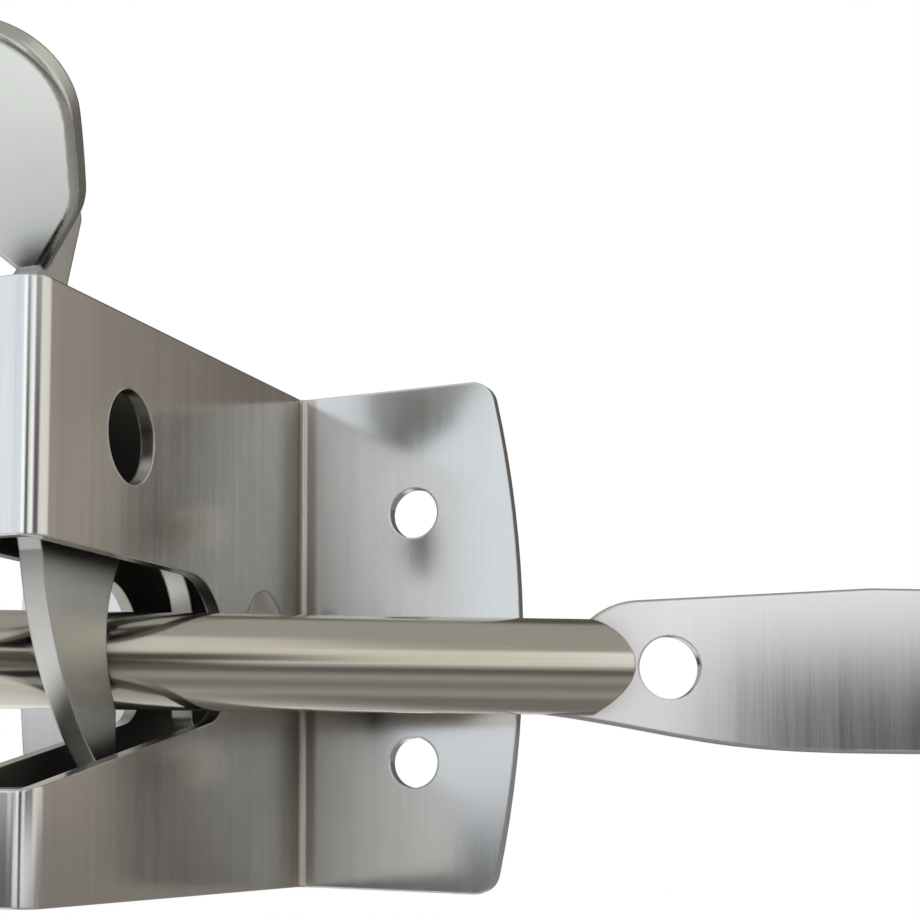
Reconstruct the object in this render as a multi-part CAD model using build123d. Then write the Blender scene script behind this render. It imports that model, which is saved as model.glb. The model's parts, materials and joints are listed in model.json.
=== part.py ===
from build123d import *
import math
import os

# Automatic gate catch: a folded sheet body, a gravity pawl on a rivet and the striker bar it holds.
# Millimetres. X runs along the mounting plate, Y points back into the post, Z is up.
# The origin is the centre of the four screw holes on the mounting plane Y = 0.
# Depths called "from the front" are measured back from the front face of the body.

# Folded body
body_height = 56.0
channel_width = 11.5
sheet = 1.5
bend_inside = 0.8
flange_reach = 26.0
flange_bow = 3.3
flange_flare = 0.4
flange_corner = 2.6

# Screw holes in the flanges
screw_hole_d = 5.6
screw_spacing_x = 39.0
screw_spacing_z = 28.0

# Padlock hole through both walls
padlock_d = 9.2
padlock_from_front = 17.5
padlock_z = 16.3

# Mouth that takes the striker bar
mouth_depth = 38.5
back_land = 21.5
mouth_top = 4.6
mouth_lip = -17.8
mouth_rise_deg = 11.8
mouth_upper_round = 7.8
mouth_lower_round = 4.0

# Pivot rivet
rivet_d = 5.0
rivet_head_d = 10.4
rivet_head_rise = 1.4
rivet_set_d = 7.4
rivet_set_rise = 1.0
pivot_behind_mouth = 10.3
pivot_z = -0.4

# Striker bar, lying askew in the mouth as it hangs from its gate
bar_d = 10.0
bar_swing_deg = 30.0
bar_top_gap = 3.9
bar_tail = 19.0
bar_reach = 50.9
bar_nose = 3.4
bar_end_bevel = 0.8
leaf_start = 47.4
leaf_run_in = 6.0
leaf_shoulder = 6.85
leaf_shoulder_r = 8.0
leaf_flare = 30.6
leaf_length = 69.6
leaf_width = 17.5
leaf_thick = 1.2
leaf_edge = 0.3
leaf_hole_d = 6.6
leaf_hole_from_nose = 4.95
leaf_hole_spacing = 41.0

# Pawl: a cam-fronted hook, a throat round the bar, an arm back to the pivot and a thumb pad
pawl_sheet = 2.5
hook_width_top = 14.45
hook_width_mid = 10.85
hook_width_low = 2.95
hook_mid_drop = 10.4
hook_low_drop = 20.0
hook_tip_drop = 2.4
hook_tip_width = 3.0
throat_bow = 2.1
throat_crown = 2.9
throat_round = 7.8
throat_behind = 1.5
tail_drop = 10.3
tail_width = 5.0
lobe_r = 8.6
arm_rise = 13.8
hub_d = 9.0
gusset_depth = 3.7
gusset_rise = 10.5
gusset_length = 13.0
nose_low = 12.5
nose_high = 3.0
edge_ease = 1.2

# Thumb pad, a teardrop curled forward off the top of the pawl
pad_r = 8.7
pad_low_r = 6.9
pad_corner_r = 5.5
pad_corner_at = 8.6
pad_foot_from_front = 9.0
pad_foot_rise = 2.6
pad_foot_blend = 1.0
pad_start_lean = 25.0
pad_curl_r = 44.0
pad_length = 16.0
pad_rim_round = 0.8

# Clearances
running_fit = 0.05
side_play = 0.3
stop_gap = 0.3
bar_gap = 0.3
hook_gap = 1.5
padlock_gap = 1.2

top = body_height / 2
body_depth = mouth_depth + back_land
wall_out = channel_width / 2
wall_in = wall_out - sheet
pivot_from_front = mouth_depth + pivot_behind_mouth
swing = math.radians(bar_swing_deg)
bar_r = bar_d / 2


def side(from_front, z):
    """A point of a side view, from its depth behind the front face and its height."""
    return (from_front - body_depth, z)


def cross_pin(from_front, z, radius, length):
    """A cylinder along X, centred on the channel."""
    y, z = side(from_front, z)
    return Pos(0, y, z) * Rot(0, 90, 0) * Cylinder(radius, length)


def rounded(face, spots, radius):
    """The face with the corner nearest to each given point rounded."""
    for spot in spots:
        face = fillet(face.vertices().sort_by_distance(spot)[0], radius)
    return face


# Where the bar lies: against the back of the mouth in the right-hand wall
bar_half_depth = bar_r / math.cos(swing)
bar_from_front = mouth_depth - bar_gap - wall_out * math.tan(swing) - bar_half_depth
bar_z = mouth_top - bar_top_gap - bar_r
bar_front_at_pawl = bar_from_front - bar_half_depth - pawl_sheet / 2 * math.tan(swing)


def make_latch_body():
    """The hat section, folded from one sheet, with its bowed flanges, mouth and holes."""
    edge = wall_out + flange_reach
    half = [
        (0, sheet - body_depth),
        (wall_in, sheet - body_depth),
        (wall_in, 0),
        (edge, 0),
        (edge, -sheet),
        (wall_out, -sheet),
        (wall_out, -body_depth),
        (0, -body_depth),
    ]
    hat = make_face(Polyline(half, close=True))
    hat = rounded(hat, [(wall_in, sheet - body_depth), (wall_out, -sheet)], bend_inside)
    hat = rounded(hat, [(wall_in, 0), (wall_out, -body_depth)], bend_inside + sheet)
    hat += mirror(hat, Plane.YZ)
    tall = top + flange_flare
    body = Pos(0, 0, -tall) * extrude(hat, 2 * tall)

    shoulder = edge - flange_bow
    right = ThreePointArc((shoulder, -tall), (edge, 0), (shoulder, tall))
    left = ThreePointArc((-shoulder, tall), (-edge, 0), (-shoulder, -tall))
    lid = Polyline([(shoulder, tall), (wall_out, top), (-wall_out, top), (-shoulder, tall)])
    sill = Polyline([(-shoulder, -tall), (-wall_out, -top), (wall_out, -top), (shoulder, -tall)])
    outline = make_face(Curve() + [right, lid, left, sill])
    outline = rounded(outline, [(x, z) for x in (-shoulder, shoulder) for z in (-tall, tall)], flange_corner)
    body &= extrude(Plane.XZ * outline, body_depth + sheet, both=True)

    run = mouth_depth + sheet
    rise = math.tan(math.radians(mouth_rise_deg))
    mouth = make_face(Polyline([
        side(-sheet, mouth_top),
        side(mouth_depth, mouth_top),
        side(mouth_depth, mouth_lip + mouth_depth * rise),
        side(mouth_depth - run, mouth_lip + (mouth_depth - run) * rise),
    ], close=True))
    mouth = rounded(mouth, [side(mouth_depth, mouth_lip + mouth_depth * rise)], mouth_lower_round)
    mouth = rounded(mouth, [side(mouth_depth, mouth_top)], mouth_upper_round)
    body -= extrude(Plane.YZ * mouth, channel_width, both=True)

    body -= cross_pin(padlock_from_front, padlock_z, padlock_d / 2, 2 * channel_width)
    body -= cross_pin(pivot_from_front, pivot_z, rivet_d / 2 + running_fit, 2 * channel_width)
    for hole in GridLocations(screw_spacing_x, screw_spacing_z, 2, 2):
        x, z = hole.position.X, hole.position.Y
        body -= Pos(x, 0, z) * Rot(90, 0, 0) * Cylinder(screw_hole_d / 2, 4 * sheet)
    return body


def make_pivot_rivet():
    """A rivet across the channel: a low domed head on the right wall, its end set flat on the left one."""
    head_r = rivet_head_d / 2
    dome_r = (head_r ** 2 + rivet_head_rise ** 2) / (2 * rivet_head_rise)
    head = Pos(0, 0, wall_out + rivet_head_rise - dome_r) * Sphere(dome_r)
    head &= Pos(0, 0, wall_out + rivet_head_rise) * Cylinder(dome_r, 2 * rivet_head_rise)
    set_end = Pos(0, 0, -wall_out - rivet_set_rise / 2) * Cylinder(rivet_set_d / 2, rivet_set_rise)
    set_end = chamfer(set_end.edges().sort_by(Axis.Z)[0], rivet_set_rise / 2)
    pin = Cylinder(rivet_d / 2, channel_width) + head + set_end
    y, z = side(pivot_from_front, pivot_z)
    return Pos(0, y, z) * Rot(0, 90, 0) * pin


def pad_point(along, off=0.0):
    """A side-view point of the thumb pad, by its distance along the curl and off its mid-surface."""
    lean = math.radians(pad_start_lean)
    turn = lean + along / pad_curl_r
    y, z = side(pad_foot_from_front, top + pad_foot_rise)
    y += (pad_curl_r + off) * math.cos(turn) - pad_curl_r * math.cos(lean)
    z += (pad_curl_r + off) * math.sin(turn) - pad_curl_r * math.sin(lean)
    return (y, z)


def make_thumb_pad():
    """A teardrop cut from a sheet that curls forward: a bent band met by the teardrop outline."""
    inside = pad_curl_r - pawl_sheet / 2
    band = Cylinder(pad_curl_r + pawl_sheet / 2, 4 * pad_r) - Cylinder(inside, 5 * pad_r)
    band = Pos(0, *pad_point(0, -pad_curl_r)) * Rot(0, 90, 0) * band
    middle = (pad_length + pad_r) / 2
    turn = math.radians(pad_start_lean) + middle / pad_curl_r
    face = Plane(origin=(0, *pad_point(middle)), x_dir=(-1, 0, 0), z_dir=(0, math.cos(turn), math.sin(turn)))

    crown = Pos(0, pad_length - middle) * Circle(pad_r)
    foot = Pos(0, pawl_sheet / 2 - middle) * Circle(pawl_sheet / 2)
    rounds = crown.edges() + foot.edges()
    for x in (pad_corner_r - pad_low_r, pad_low_r - pad_corner_r):
        rounds += (Pos(x, pad_corner_at - middle) * Circle(pad_corner_r)).edges()
    tear = make_hull(rounds)
    pad = band & extrude(face * tear, pad_r, both=True)

    curved = pad.faces().filter_by(GeomType.CYLINDER)
    front = [one for one in curved if abs(one.radius - inside) < 1e-6][0]
    return fillet(front.edges(), pad_rim_round)


def make_pawl():
    """The hook plate with its hub and thumb pad, all one piece."""
    throat_front = bar_front_at_pawl - hook_gap
    lip = throat_front + throat_bow
    hook_top = lip - hook_width_top
    throat_back = mouth_depth + throat_behind
    face_low = mouth_top - hook_low_drop
    tip_z = face_low - hook_tip_drop
    lip_z = bar_z - bar_r - bar_gap
    shackle_low = padlock_z - padlock_d / 2 - padlock_gap
    neck_back = padlock_from_front - padlock_d / 2 - padlock_gap
    nose = sheet + stop_gap

    face = ThreePointArc(side(hook_top, mouth_top),
                         side(lip - hook_width_mid, mouth_top - hook_mid_drop),
                         side(lip - hook_width_low, face_low))
    tip = Polyline([face @ 1, side(lip - hook_tip_width / 3, tip_z), side(lip, tip_z + hook_tip_drop / 2),
                    side(lip, lip_z)])
    throat = ThreePointArc(side(lip, lip_z),
                           side(throat_front, (lip_z + mouth_top) / 2),
                           side(lip, mouth_top))
    rest = Polyline([
        throat @ 1,
        side(lip + throat_bow / 2, mouth_top + throat_crown),
        side(throat_back, mouth_top + throat_crown),
        side(throat_back, pivot_z - tail_drop),
        side(throat_back + tail_width, pivot_z - tail_drop),
        side(pivot_from_front, pivot_z - lobe_r),
        side(pivot_from_front, pivot_z + lobe_r),
        side(padlock_from_front + padlock_d, pivot_z + arm_rise),
        side(padlock_from_front + padlock_d / 2, shackle_low),
        side(neck_back, shackle_low),
        side(neck_back, top),
        side(neck_back + gusset_depth, top + gusset_rise),
        pad_point(gusset_length),
        pad_point(pad_foot_blend),
        pad_point(pad_foot_blend, -pawl_sheet / 2),
        side(nose, top - nose_high),
        side(nose, top - nose_low),
        side(hook_top - 1, mouth_top + throat_crown),
        face @ 0,
    ])
    plate = make_face(Curve() + [face, tip, throat, rest])

    plate = rounded(plate, [side(throat_back, mouth_top + throat_crown)], throat_round)
    plate = rounded(plate, [
        side(lip + throat_bow / 2, mouth_top + throat_crown),
        side(lip, lip_z),
        side(lip - hook_tip_width / 3, tip_z),
        side(throat_back, pivot_z - tail_drop),
        side(throat_back + tail_width, pivot_z - tail_drop),
        side(padlock_from_front + padlock_d / 2, shackle_low),
        side(padlock_from_front + padlock_d, pivot_z + arm_rise),
        side(neck_back, shackle_low),
        side(neck_back + gusset_depth, top + gusset_rise),
        side(nose, top - nose_high),
        side(nose, top - nose_low),
        side(hook_top - 1, mouth_top + throat_crown),
    ], edge_ease)

    plate += Pos(*side(pivot_from_front, pivot_z)) * Circle(lobe_r)
    pawl = extrude(Plane.YZ * plate, pawl_sheet / 2, both=True)
    pawl += make_thumb_pad()
    pawl += cross_pin(pivot_from_front, pivot_z, hub_d / 2, 2 * (wall_in - side_play))
    pawl -= cross_pin(pivot_from_front, pivot_z, rivet_d / 2 + running_fit, channel_width)
    return pawl


def make_striker_bar():
    """A round bar with a bluntly pointed end on a thin leaf that widens from it, with two screw holes."""
    rod = Pos((bar_reach - bar_tail) / 2, 0, 0) * Rot(0, 90, 0) * Cylinder(bar_r, bar_reach + bar_tail)
    rod = chamfer(rod.edges().sort_by(Axis.X)[0], bar_end_bevel)
    start = bar_reach - 4 * bar_nose
    point = Bezier((start, bar_d), (bar_reach + 4 * bar_nose, 0), (start, -bar_d))
    stem = Polyline([(start, -bar_d), (-2 * bar_tail, -bar_d), (-2 * bar_tail, bar_d), (start, bar_d)])
    rod &= extrude(Plane.XZ * make_face(Curve() + [point, stem]), bar_d, both=True)

    half = leaf_width / 2
    neck = bar_r * 0.98
    sunk = bar_r / 2
    low = leaf_start - leaf_run_in
    full = leaf_start + leaf_flare
    end = leaf_start + leaf_length
    corner = (leaf_start + leaf_shoulder - neck, leaf_shoulder)
    upper = Polyline([(low, -neck), (low, 0), (leaf_start - sunk, neck - sunk), corner, (full, half),
                      (end - half, half)])
    tip = ThreePointArc((end - half, half), (end, 0), (end - half, -half))
    back = Line((end - half, -half), (full, -half))
    lower = Spline([(full, -half), (leaf_start + leaf_flare * 0.485, -half * 0.92), (low, -neck)],
                   tangents=[(-1, 0), (-1, 0.1)])
    blank = rounded(make_face(Curve() + [upper, tip, back, lower]), [corner], leaf_shoulder_r)
    leaf = Pos(0, leaf_thick / 2, 0) * extrude(Plane.XZ * blank, leaf_thick)
    faces = [leaf.faces().sort_by(Axis.Y)[0], leaf.faces().sort_by(Axis.Y)[-1]]
    rim = [e for one in faces for e in one.edges() if e.center().X > leaf_start]
    leaf = fillet(rim, leaf_edge)
    first = bar_reach + leaf_hole_from_nose
    for x in (first, first + leaf_hole_spacing):
        leaf -= Pos(x, 0, 0) * Rot(90, 0, 0) * Cylinder(leaf_hole_d / 2, 2 * leaf_thick)
        rod -= Pos(x, 0, 0) * Rot(90, 0, 0) * Cylinder(leaf_hole_d / 2, 2 * bar_d)
    y, z = side(bar_from_front, bar_z)
    return Pos(0, y, z) * Rot(0, 0, bar_swing_deg) * (rod + leaf)


parts = {
    "latch_body": make_latch_body(),
    "pawl": make_pawl(),
    "pivot_rivet": make_pivot_rivet(),
    "striker_bar": make_striker_bar(),
}

os.makedirs("parts", exist_ok=True)
for name, shape in parts.items():
    export_step(shape, f"parts/{name}.step")
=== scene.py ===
import json
import math
from collections import namedtuple

import bpy
from mathutils import Matrix, Vector

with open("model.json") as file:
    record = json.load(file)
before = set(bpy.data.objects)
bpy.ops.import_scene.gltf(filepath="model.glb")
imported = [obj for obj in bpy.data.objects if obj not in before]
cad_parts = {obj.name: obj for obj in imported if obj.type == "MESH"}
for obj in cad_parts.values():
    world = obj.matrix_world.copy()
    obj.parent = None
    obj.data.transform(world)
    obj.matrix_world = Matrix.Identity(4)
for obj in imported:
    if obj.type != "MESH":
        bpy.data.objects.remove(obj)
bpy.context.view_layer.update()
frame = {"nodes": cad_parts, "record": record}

MM = 0.001

# Sizes in millimetres, from the frame where it gives them
mounts = {mount["name"]: mount for mount in frame["record"]["mounts"]}
leaf_hole = mounts["leaf_hole_inner"]
WALL_FACE = mounts["padlock"]["dims"]["length_mm"] / 2
FRONT_FACE = min(corner[1] for corner in frame["nodes"]["latch_body"].bound_box) / MM
LEAF_FACE = leaf_hole["dims"]["length_mm"] / 2
SHEET = 1.5

# The striker bar's own axes start at its leaf's inner hole: x along the bar, y through the leaf, z up
BAR_START = [place / MM for place in leaf_hole["pos_m"]]
BAR_SWING = math.atan2(leaf_hole["axis"][0], -leaf_hole["axis"][1])

# Sockets of a Mix node for each kind of value: first, second, result
MIX = {"FLOAT": (2, 3, 0), "VECTOR": (4, 5, 1), "RGBA": (6, 7, 2)}


def linear(code):
    """An sRGB hex colour as linear RGBA."""
    parts = [int(code[i:i + 2], 16) / 255 for i in (1, 3, 5)]
    return [c / 12.92 if c <= 0.04045 else ((c + 0.055) / 1.055) ** 2.4 for c in parts] + [1]


def empty_tree(owner):
    """The node tree of a material or world, cleared."""
    owner.use_nodes = True
    owner.node_tree.nodes.clear()
    return owner.node_tree


def add(tree, kind, inputs=None, **settings):
    """Adds one node; inputs are values or sockets by name or number, settings are its properties."""
    node = tree.nodes.new(kind)
    for name, value in settings.items():
        setattr(node, name, value)
    for name, value in (inputs or {}).items():
        if isinstance(value, bpy.types.NodeSocket):
            tree.links.new(value, node.inputs[name])
        else:
            node.inputs[name].default_value = value
    return node


def inside(tree, value, low, high, soft):
    """A socket that is 1 where the value lies between low and high, with soft borders."""
    borders = []
    for border, ramp in ((low, soft), (high, -soft)):
        ends = {"Value": value, "From Min": border - ramp, "From Max": border + ramp}
        borders.append(add(tree, "ShaderNodeMapRange", ends, interpolation_type="SMOOTHSTEP").outputs[0])
    return add(tree, "ShaderNodeMath", {0: borders[0], 1: borders[1]}, operation="MULTIPLY").outputs[0]


def azimuth_of(tree, way):
    """A separated vector's angle in degrees, to the right of straight ahead of the catch."""
    ahead = add(tree, "ShaderNodeMath", {0: way.outputs["Y"], 1: -1.0}, operation="MULTIPLY")
    turn = add(tree, "ShaderNodeMath", {0: way.outputs["X"], 1: ahead.outputs[0]}, operation="ARCTAN2")
    return add(tree, "ShaderNodeMath", {0: turn.outputs[0]}, operation="DEGREES").outputs[0]


# A finish of steel. grain is the length of its scratches along x, y and z in millimetres: real ones are
# some 0.03 mm wide, and they are drawn 0.2 to 0.4 mm wide, as coarse as they need to show. brushed is its
# anisotropy. In a nook its colour is darkened to the share nook, as painted shade, and it is rougher by
# dull, where the polish didn't reach
Finish = namedtuple("Finish", "colour roughness grain brushed nook dull", defaults=(0.0, 0.4, 0.0))
SCRATCH_DEPTH = 0.0008          # millimetres
BUNDLES = 0.14                  # scratches lie in bundles, some seven times as large
BLOTCHES_PER_MM = 0.06          # stains and finger marks, some 17 mm across
ROUNDED_EDGE = 0.3              # millimetres, on sheared edges
RUBBED_EDGE = "#DADCDD"         # edges worn bright by use


def steel(name, face, parts=(), start=(0, 0, 0), turn=0.0, nook_mm=6):
    """Bare stainless steel with a drawn grain, blotchy roughness, rubbed edges and painted shade in nooks.

    face is the finish all over, and parts are (finish, slabs) laid over it where the slabs overlap, each
    slab (axis, low, high, soft) in millimetres. start and turn are the place, in millimetres, and the
    turn about the upright of the axes that grain and slabs are given in. A nook is within nook_mm of a
    corner."""
    material = bpy.data.materials.new(name)
    tree = empty_tree(material)
    place = add(tree, "ShaderNodeTexCoord").outputs["Object"]
    shift = Matrix.Rotation(-turn, 3, "Z") @ -Vector(start)
    local = add(tree, "ShaderNodeMapping", {"Vector": place, "Location": shift, "Rotation": (0, 0, -turn),
                                            "Scale": (1 / MM, 1 / MM, 1 / MM)}).outputs[0]
    split = add(tree, "ShaderNodeSeparateXYZ", {0: local})
    shares = []
    for finish, slabs in parts:
        share = 1.0
        for axis, low, high, soft in slabs:
            slab = inside(tree, split.outputs[axis], low, high, soft)
            share = add(tree, "ShaderNodeMath", {0: share, 1: slab}, operation="MULTIPLY").outputs[0]
        shares.append(share)
    finishes = [face] + [finish for finish, slabs in parts]

    def laid(kind, values):
        """One property all over: a plain value where the finishes agree, else a socket that mixes them."""
        result, *others = values
        if all(value == result for value in others):
            return result
        first, second, out = MIX[kind]
        for share, value in zip(shares, others):
            result = add(tree, "ShaderNodeMix", {0: share, first: result, second: value},
                         data_type=kind).outputs[out]
        return result

    # Scratches, their bundles and blotches, added up
    pitch = laid("VECTOR", [tuple(1 / length for length in finish.grain) for finish in finishes])
    drawn = add(tree, "ShaderNodeVectorMath", {0: local, 1: pitch}, operation="MULTIPLY").outputs[0]
    scratch = add(tree, "ShaderNodeTexNoise", {"Vector": drawn, "Scale": 1.0, "Detail": 3.0,
                                               "Roughness": 0.6}).outputs[0]
    bundle = add(tree, "ShaderNodeTexNoise", {"Vector": drawn, "Scale": BUNDLES, "Detail": 2.0})
    blotch = add(tree, "ShaderNodeTexNoise", {"Vector": local, "Scale": BLOTCHES_PER_MM, "Detail": 2.0})
    lines = add(tree, "ShaderNodeMath", {0: scratch, 1: bundle.outputs[0]}, operation="ADD")
    smear = add(tree, "ShaderNodeMath", {0: lines.outputs[0], 1: blotch.outputs[0]},
                operation="ADD").outputs[0]

    # Edges are where the rounded normal leaves the face's own; those in nooks aren't rubbed
    rounded = add(tree, "ShaderNodeBevel", {"Radius": ROUNDED_EDGE * MM}, samples=6).outputs[0]
    facing = add(tree, "ShaderNodeNewGeometry").outputs["Normal"]
    match = add(tree, "ShaderNodeVectorMath", {0: rounded, 1: facing}, operation="DOT_PRODUCT")
    clear = add(tree, "ShaderNodeAmbientOcclusion", {"Distance": nook_mm * MM}, samples=6).outputs["AO"]
    rubbed = add(tree, "ShaderNodeMapRange", {"Value": clear, "From Min": 0.55, "From Max": 0.85,
                                              "To Min": 0.0, "To Max": 0.5})
    edge = add(tree, "ShaderNodeMapRange", {"Value": match.outputs["Value"], "From Min": 0.995,
                                            "From Max": 0.85, "To Min": 0.0, "To Max": rubbed.outputs[0]})

    # Colour: the finish, uneven along its scratches, with painted shade in nooks and bright edges
    tone = add(tree, "ShaderNodeMapRange", {"Value": smear, "From Min": 1.1, "From Max": 1.9,
                                            "To Min": 0.95, "To Max": 1.04})
    left_in_nook = laid("FLOAT", [finish.nook for finish in finishes])
    # Painted shade: the colour darkens towards corners, as far as the occlusion reaches
    painted_nook_shade = add(tree, "ShaderNodeMapRange", {"Value": clear, "From Min": 0.3, "From Max": 0.9,
                                             "To Min": left_in_nook, "To Max": 1.0})
    shade = add(tree, "ShaderNodeMath", {0: tone.outputs[0], 1: painted_nook_shade.outputs[0]}, operation="MULTIPLY")
    base = laid("RGBA", [linear(finish.colour) for finish in finishes])
    tinted = add(tree, "ShaderNodeMix", {0: 1.0, 6: base, 7: shade.outputs[0]}, data_type="RGBA",
                 blend_type="MULTIPLY")
    colour = add(tree, "ShaderNodeMix", {0: edge.outputs[0], 6: tinted.outputs[2], 7: linear(RUBBED_EDGE)},
                 data_type="RGBA")

    # Roughness: the finish, hazy along its scratches and duller in nooks
    haze = add(tree, "ShaderNodeMapRange", {"Value": smear, "From Min": 1.0, "From Max": 2.0,
                                            "To Min": 0.84, "To Max": 1.16})
    polish = laid("FLOAT", [finish.roughness for finish in finishes])
    hazy = add(tree, "ShaderNodeMath", {0: polish, 1: haze.outputs[0]}, operation="MULTIPLY")
    dull_in_nook = laid("FLOAT", [finish.dull for finish in finishes])
    missed = add(tree, "ShaderNodeMapRange", {"Value": clear, "From Min": 1.0, "From Max": 0.45,
                                              "To Min": 0.0, "To Max": dull_in_nook})
    rough = add(tree, "ShaderNodeMath", {0: hazy.outputs[0], 1: missed.outputs[0]}, operation="ADD")

    relief = add(tree, "ShaderNodeBump", {"Height": scratch, "Normal": rounded, "Strength": 1.0,
                                          "Distance": SCRATCH_DEPTH * MM})
    level = add(tree, "ShaderNodeTangent", direction_type="RADIAL", axis="Z")
    brushed = laid("FLOAT", [finish.brushed for finish in finishes])
    surface = {"Base Color": colour.outputs[2], "Metallic": 1.0, "Roughness": rough.outputs[0],
               "Normal": relief.outputs[0], "Anisotropic": brushed, "Tangent": level.outputs[0]}
    shader = add(tree, "ShaderNodeBsdfPrincipled", surface)
    add(tree, "ShaderNodeOutputMaterial", {"Surface": shader.outputs[0]})
    return material


# Zones of the finishes: slabs of axis, from, to and softness, in millimetres
PAST_END = 200                  # beyond any piece
BEND_EDGE = WALL_FACE + 1.85    # the walls' finish goes out into the bends of the flanges
INNER_FACE = WALL_FACE - SHEET + 0.05
PAD_FOOT = 27                   # height up to which the pawl is in the channel
LEAF_ROOT = -12.8               # along the bar, where the leaf becomes flat
LEAF_SKIN = LEAF_FACE + 0.1
WALLS = [("X", -BEND_EDGE, BEND_EDGE, 0.4), ("Y", FRONT_FACE + 2, PAST_END, 1)]
CHANNEL = [("X", -INNER_FACE, INNER_FACE, 0.05), ("Y", FRONT_FACE + 0.8, PAST_END, 0.1)]
IN_CHANNEL = [("Z", -PAST_END, PAD_FOOT, 1)]
LEAF = [("X", LEAF_ROOT, PAST_END, 0.5), ("Y", -LEAF_SKIN, LEAF_SKIN, 0.05)]

# Folded stainless sheet, brushed upright: bright grey with soft upright streaks. The walls are rougher,
# with a painted warm light and deeper painted shade in their nooks, and the channel's rough mill finish is
# painted dark grey inside as painted shade
UPRIGHT = (0.22, 0.22, 13)
bright_face = Finish("#DCDEDF", 0.13, grain=UPRIGHT, brushed=0.3, nook=1.0, dull=0.03)
warm_shaded_wall = Finish("#DCD7CF", 0.15, grain=UPRIGHT, brushed=0.3, nook=0.3, dull=0.18)
shaded_mill_finish = Finish("#72736F", 0.5, grain=(0.4, 0.4, 4), nook=0.6)
sheet = steel("Brushed_stainless_sheet", bright_face, [(warm_shaded_wall, WALLS), (shaded_mill_finish, CHANNEL)],
              nook_mm=22)

# Pressed stainless plate, satin: an even silky grey on the pad, and duller on the hook in the channel
satin_pad = Finish("#D2D5D1", 0.26, grain=(0.3, 0.3, 2))
dull_hook = Finish("#CBCCC8", 0.34, grain=(0.3, 2, 0.3))
plate = steel("Satin_stainless_plate", satin_pad, [(dull_hook, IN_CHANNEL)])

# Turned stainless rivet, left as it came from the lathe: a plain dull grey
rivet = steel("Turned_stainless_rivet", Finish("#8C8882", 0.36, grain=(0.3, 0.3, 0.3)))

# Stainless round bar, drawn: bright and warm with streaks along it, and a flattened leaf brushed across
drawn_round = Finish("#CBC7BD", 0.14, grain=(14, 0.25, 0.25))
brushed_leaf = Finish("#D6D6D7", 0.12, grain=(0.22, 0.22, 9), brushed=0.3)
bar = steel("Drawn_stainless_bar", drawn_round, [(brushed_leaf, LEAF)], start=BAR_START, turn=BAR_SWING)

finished = {"latch_body": sheet, "pawl": plate, "pivot_rivet": rivet, "striker_bar": bar}
for node, material in finished.items():
    frame["nodes"][node].material_slots[0].material = material


# What the metal sees of the studio, each patch over those before it: azimuth to the right of straight
# ahead of the catch, from and to, elevation from and to, softness of azimuth and of elevation, colour
ROOM = (0.50, 0.47, 0.44, 1)
STUDIO = [
    (-200, 200, 40, 100, 20, 6, (0.47, 0.46, 0.43)),        # ceiling
    (-90, -24, 3, 60, 5, 3, (0.98, 1.01, 1.05)),            # window on the left
    (-24, -10, -30, 50, 4, 8, (0.92, 0.95, 0.98)),          # pale screen beside the window
    (-10, 6, 4, 50, 2, 3, (0.92, 0.95, 0.98)),              # the rest of it, hung higher
    (7, 23, 3.5, 40, 1, 2, (1.28, 1.34, 1.40)),             # soft box: the flange sees it in the wall
    (13, 23, -2, 6, 1, 3, (1.28, 1.34, 1.40)),              # foot of the soft box
    (23.3, 38, -30, 15, 0.8, 3, (0.08, 0.065, 0.05)),       # dark gap: the wall sees it in the flange
    (21, 24, -30, 2.5, 0.7, 1.2, (0.08, 0.065, 0.05)),      # foot of the dark gap
    (23, 40, 18, 56, 4, 6, (0.85, 0.83, 0.80)),             # pale screen over the gap
    (37, 45, -2, 29, 2, 4, (0.96, 0.93, 0.84)),             # cream screen on the right of the gap
    (45, 60, -2, 29, 1.5, 4, (1.20, 1.20, 1.20)),           # white screen: upper half of the leaf
    (48.7, 80, -16, 4.5, 1.3, 1.7, (0.05, 0.05, 0.05)),     # dark edge under it: lower half
    (63, 84, -16, 14, 2, 3, (0.12, 0.11, 0.10)),            # dark gap on the right
    (88, 138, -2, 60, 4, 5, (0.90, 0.86, 0.78)),            # warm screen on the right
    (150, 200, -30, 60, 8, 10, (0.135, 0.12, 0.104)),       # dark room behind, on the right
    (-200, -150, -30, 60, 8, 10, (0.135, 0.12, 0.104)),     # and on the left
]
SOFT_LIGHT = 0.7                # strength of the even light on the floor


def studio_world():
    """White for the camera, even light for the floor, and for the metal a grey room with its patches."""
    world = bpy.data.worlds.new("Studio")
    bpy.context.scene.world = world
    tree = empty_tree(world)
    way = add(tree, "ShaderNodeSeparateXYZ", {0: add(tree, "ShaderNodeTexCoord").outputs["Generated"]})
    azimuth = azimuth_of(tree, way)
    climb = add(tree, "ShaderNodeMath", {0: way.outputs["Z"]}, operation="ARCSINE")
    elevation = add(tree, "ShaderNodeMath", {0: climb.outputs[0]}, operation="DEGREES").outputs[0]
    sky = ROOM
    for left, right, low, high, soft_turn, soft_climb, colour in STUDIO:
        share = add(tree, "ShaderNodeMath", {0: inside(tree, azimuth, left, right, soft_turn),
                                             1: inside(tree, elevation, low, high, soft_climb)},
                    operation="MULTIPLY")
        sky = add(tree, "ShaderNodeMix", {0: share.outputs[0], 6: sky, 7: (*colour, 1)},
                  data_type="RGBA").outputs[2]

    path = add(tree, "ShaderNodeLightPath").outputs
    mirrored = add(tree, "ShaderNodeBackground", {"Color": sky, "Strength": 1.0}).outputs[0]
    white = add(tree, "ShaderNodeBackground", {"Color": (1, 1, 1, 1), "Strength": 1.0}).outputs[0]
    soft = add(tree, "ShaderNodeBackground", {"Color": (1, 1, 1, 1), "Strength": SOFT_LIGHT}).outputs[0]
    light = add(tree, "ShaderNodeMixShader", {0: path["Is Glossy Ray"], 1: soft, 2: mirrored}).outputs[0]
    shown = add(tree, "ShaderNodeMixShader", {0: path["Is Camera Ray"], 1: light, 2: white})
    add(tree, "ShaderNodeOutputWorld", {"Surface": shown.outputs[0]})


studio_world()


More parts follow.
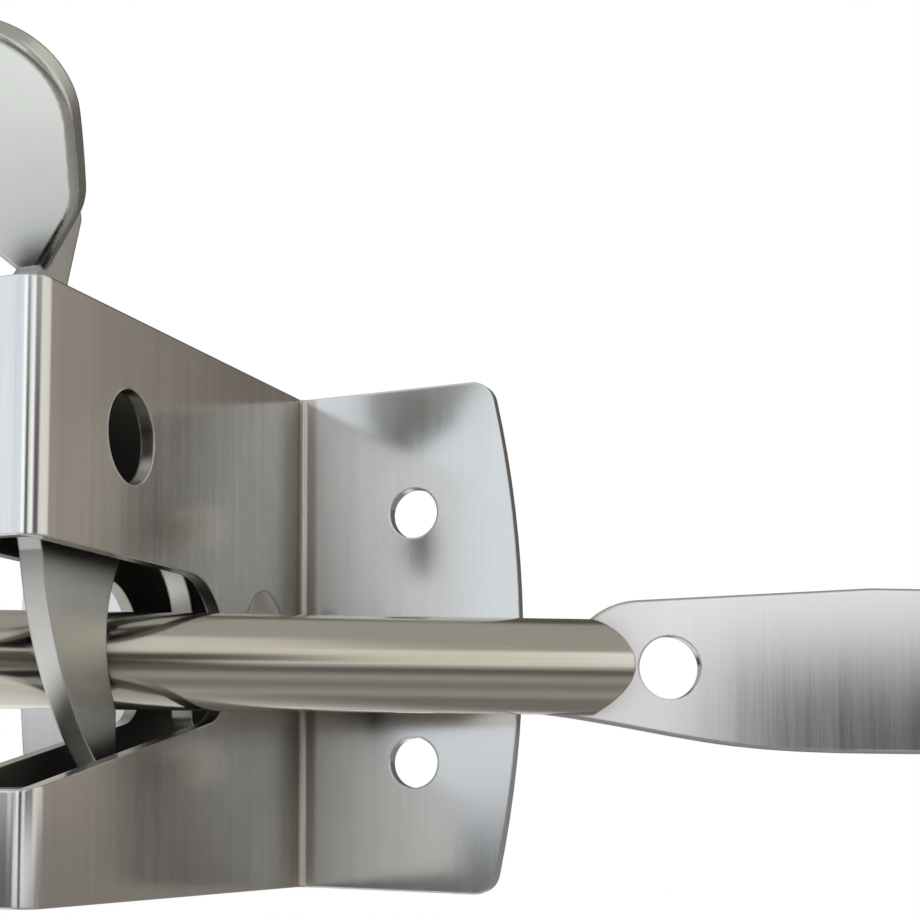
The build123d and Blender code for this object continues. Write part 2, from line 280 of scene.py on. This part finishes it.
# The floor, in metres
FLOOR_HEIGHT = -0.075
FLOOR_REACH = 6.0
FLOOR_COLOUR = (0.5, 0.5, 0.5, 1)
FLOOR_LIFT = 0.65               # light added for the camera, so that the floor stays pale
# Painted light and shade on the floor, seen only by the metal: how bright it is by the distance in front
# of the bar, and on the left by the distance from the catch
FLOOR_AHEAD = ((0.03, 0.26), (0.047, 0.44), (0.082, 0.27), (0.132, 0.46), (0.207, 0.17), (0.307, 0.17),
               (0.5, 0.55), (0.8, 0.5), (1.0, 0.12))
FLOOR_LEFT = ((0.05, 0.7), (0.11, 1.2), (0.14, 1.2), (0.17, 0.9), (0.3, 0.82), (0.5, 0.12))
AHEAD_BLUE = 0.9                # share of blue to red in front of the bar, where the painted light on the floor is warmer
LEFT_BLUE = 1.0
LEFT_BORDER = 0.03              # how far left and right of the middle the two run into each other
# The studio's dark gap goes on over the floor as painted shade: azimuth and distance, each from, to and
# softness, and colour
GAP_AZIMUTH = (23.3, 33, 1)
GAP_DISTANCE = (0.35, 9, 0.1)
GAP_COLOUR = (0.05, 0.045, 0.04, 1)


def pale_floor():
    """A plain pale floor that keeps the shadow; the metal sees painted bands of light and shade on it, dark
    in the studio's gap.
    """
    mesh = bpy.data.meshes.new("Floor")
    corners = [(x * FLOOR_REACH, y * FLOOR_REACH, FLOOR_HEIGHT)
               for x, y in ((-1, -1), (1, -1), (1, 1), (-1, 1))]
    mesh.from_pydata(corners, [], [(0, 1, 2, 3)])
    floor = bpy.data.objects.new("Floor", mesh)
    bpy.context.scene.collection.objects.link(floor)
    material = bpy.data.materials.new("Pale_matt_floor")
    mesh.materials.append(material)
    tree = empty_tree(material)

    place = add(tree, "ShaderNodeNewGeometry").outputs["Position"]
    split = add(tree, "ShaderNodeSeparateXYZ", {0: place})
    away = add(tree, "ShaderNodeVectorMath", {0: place}, operation="LENGTH").outputs["Value"]
    bar_front = (math.sin(BAR_SWING), -math.cos(BAR_SWING), 0)
    ahead = add(tree, "ShaderNodeVectorMath", {0: place, 1: bar_front},
                operation="DOT_PRODUCT").outputs["Value"]
    sides = []
    for distance, stops, blue in ((ahead, FLOOR_AHEAD, AHEAD_BLUE), (away, FLOOR_LEFT, LEFT_BLUE)):
        bands = add(tree, "ShaderNodeValToRGB", {0: distance})
        for spot, level in stops:
            bands.color_ramp.elements.new(spot).color = (level, level * (1 + blue) / 2, level * blue, 1)
        for end in (0, -1):
            bands.color_ramp.elements.remove(bands.color_ramp.elements[end])
        sides.append(bands.outputs[0])
    left = add(tree, "ShaderNodeMapRange", {"Value": split.outputs["X"], "From Min": LEFT_BORDER,
                                            "From Max": -LEFT_BORDER}, interpolation_type="SMOOTHSTEP")
    # Painted light and shade on the floor for the metal: the bands, and the dark gap over them
    tint = add(tree, "ShaderNodeMix", {0: left.outputs[0], 6: sides[0], 7: sides[1]}, data_type="RGBA")
    gap = add(tree, "ShaderNodeMath", {0: inside(tree, azimuth_of(tree, split), *GAP_AZIMUTH),
                                       1: inside(tree, away, *GAP_DISTANCE)}, operation="MULTIPLY")
    shaded = add(tree, "ShaderNodeMix", {0: gap.outputs[0], 6: tint.outputs[2], 7: GAP_COLOUR},
                 data_type="RGBA")
    mirrored = add(tree, "ShaderNodeEmission", {"Color": shaded.outputs[2], "Strength": 1.0}).outputs[0]

    path = add(tree, "ShaderNodeLightPath").outputs
    lift = add(tree, "ShaderNodeMath", {0: path["Is Camera Ray"], 1: FLOOR_LIFT}, operation="MULTIPLY")
    glow = add(tree, "ShaderNodeEmission", {"Color": (1, 1, 1, 1), "Strength": lift.outputs[0]})
    matt = add(tree, "ShaderNodeBsdfDiffuse", {"Color": FLOOR_COLOUR})
    plain = add(tree, "ShaderNodeAddShader", {0: glow.outputs[0], 1: matt.outputs[0]}).outputs[0]
    both = add(tree, "ShaderNodeMixShader", {0: path["Is Glossy Ray"], 1: plain, 2: mirrored})
    add(tree, "ShaderNodeOutputMaterial", {"Surface": both.outputs[0]})


pale_floor()


# The camera: place, lens and sensor in millimetres, roll in degrees from the level, clip in metres
CAMERA_PLACE = (92.83, -202.11, -19.26)
CAMERA_AHEAD = (-0.41211, 0.90611, 0.09593)
CAMERA_ROLL = 0.344
CAMERA_LENS = 74.85
CAMERA_SENSOR = 36
CAMERA_SHIFT = (0.2089, 0.1793)
CAMERA_CLIP = (0.01, 20)


def set_camera():
    """The scene's camera, level but for its roll about its own line of sight."""
    camera = bpy.data.objects.new("Camera", bpy.data.cameras.new("Camera"))
    bpy.context.scene.collection.objects.link(camera)
    bpy.context.scene.camera = camera
    ahead = Vector(CAMERA_AHEAD).normalized()
    level_right = ahead.cross(Vector((0, 0, 1))).normalized()
    level_up = level_right.cross(ahead)
    roll = math.radians(CAMERA_ROLL)
    right = level_right * math.cos(roll) + level_up * math.sin(roll)
    up = level_up * math.cos(roll) - level_right * math.sin(roll)
    turned = Matrix((right, up, -ahead)).transposed().to_4x4()
    camera.matrix_world = Matrix.Translation(Vector(CAMERA_PLACE) * MM) @ turned
    camera.data.sensor_width = CAMERA_SENSOR
    camera.data.lens = CAMERA_LENS
    camera.data.shift_x, camera.data.shift_y = CAMERA_SHIFT
    camera.data.clip_start, camera.data.clip_end = CAMERA_CLIP


set_camera()

bpy.context.scene.view_settings.view_transform = "Standard"
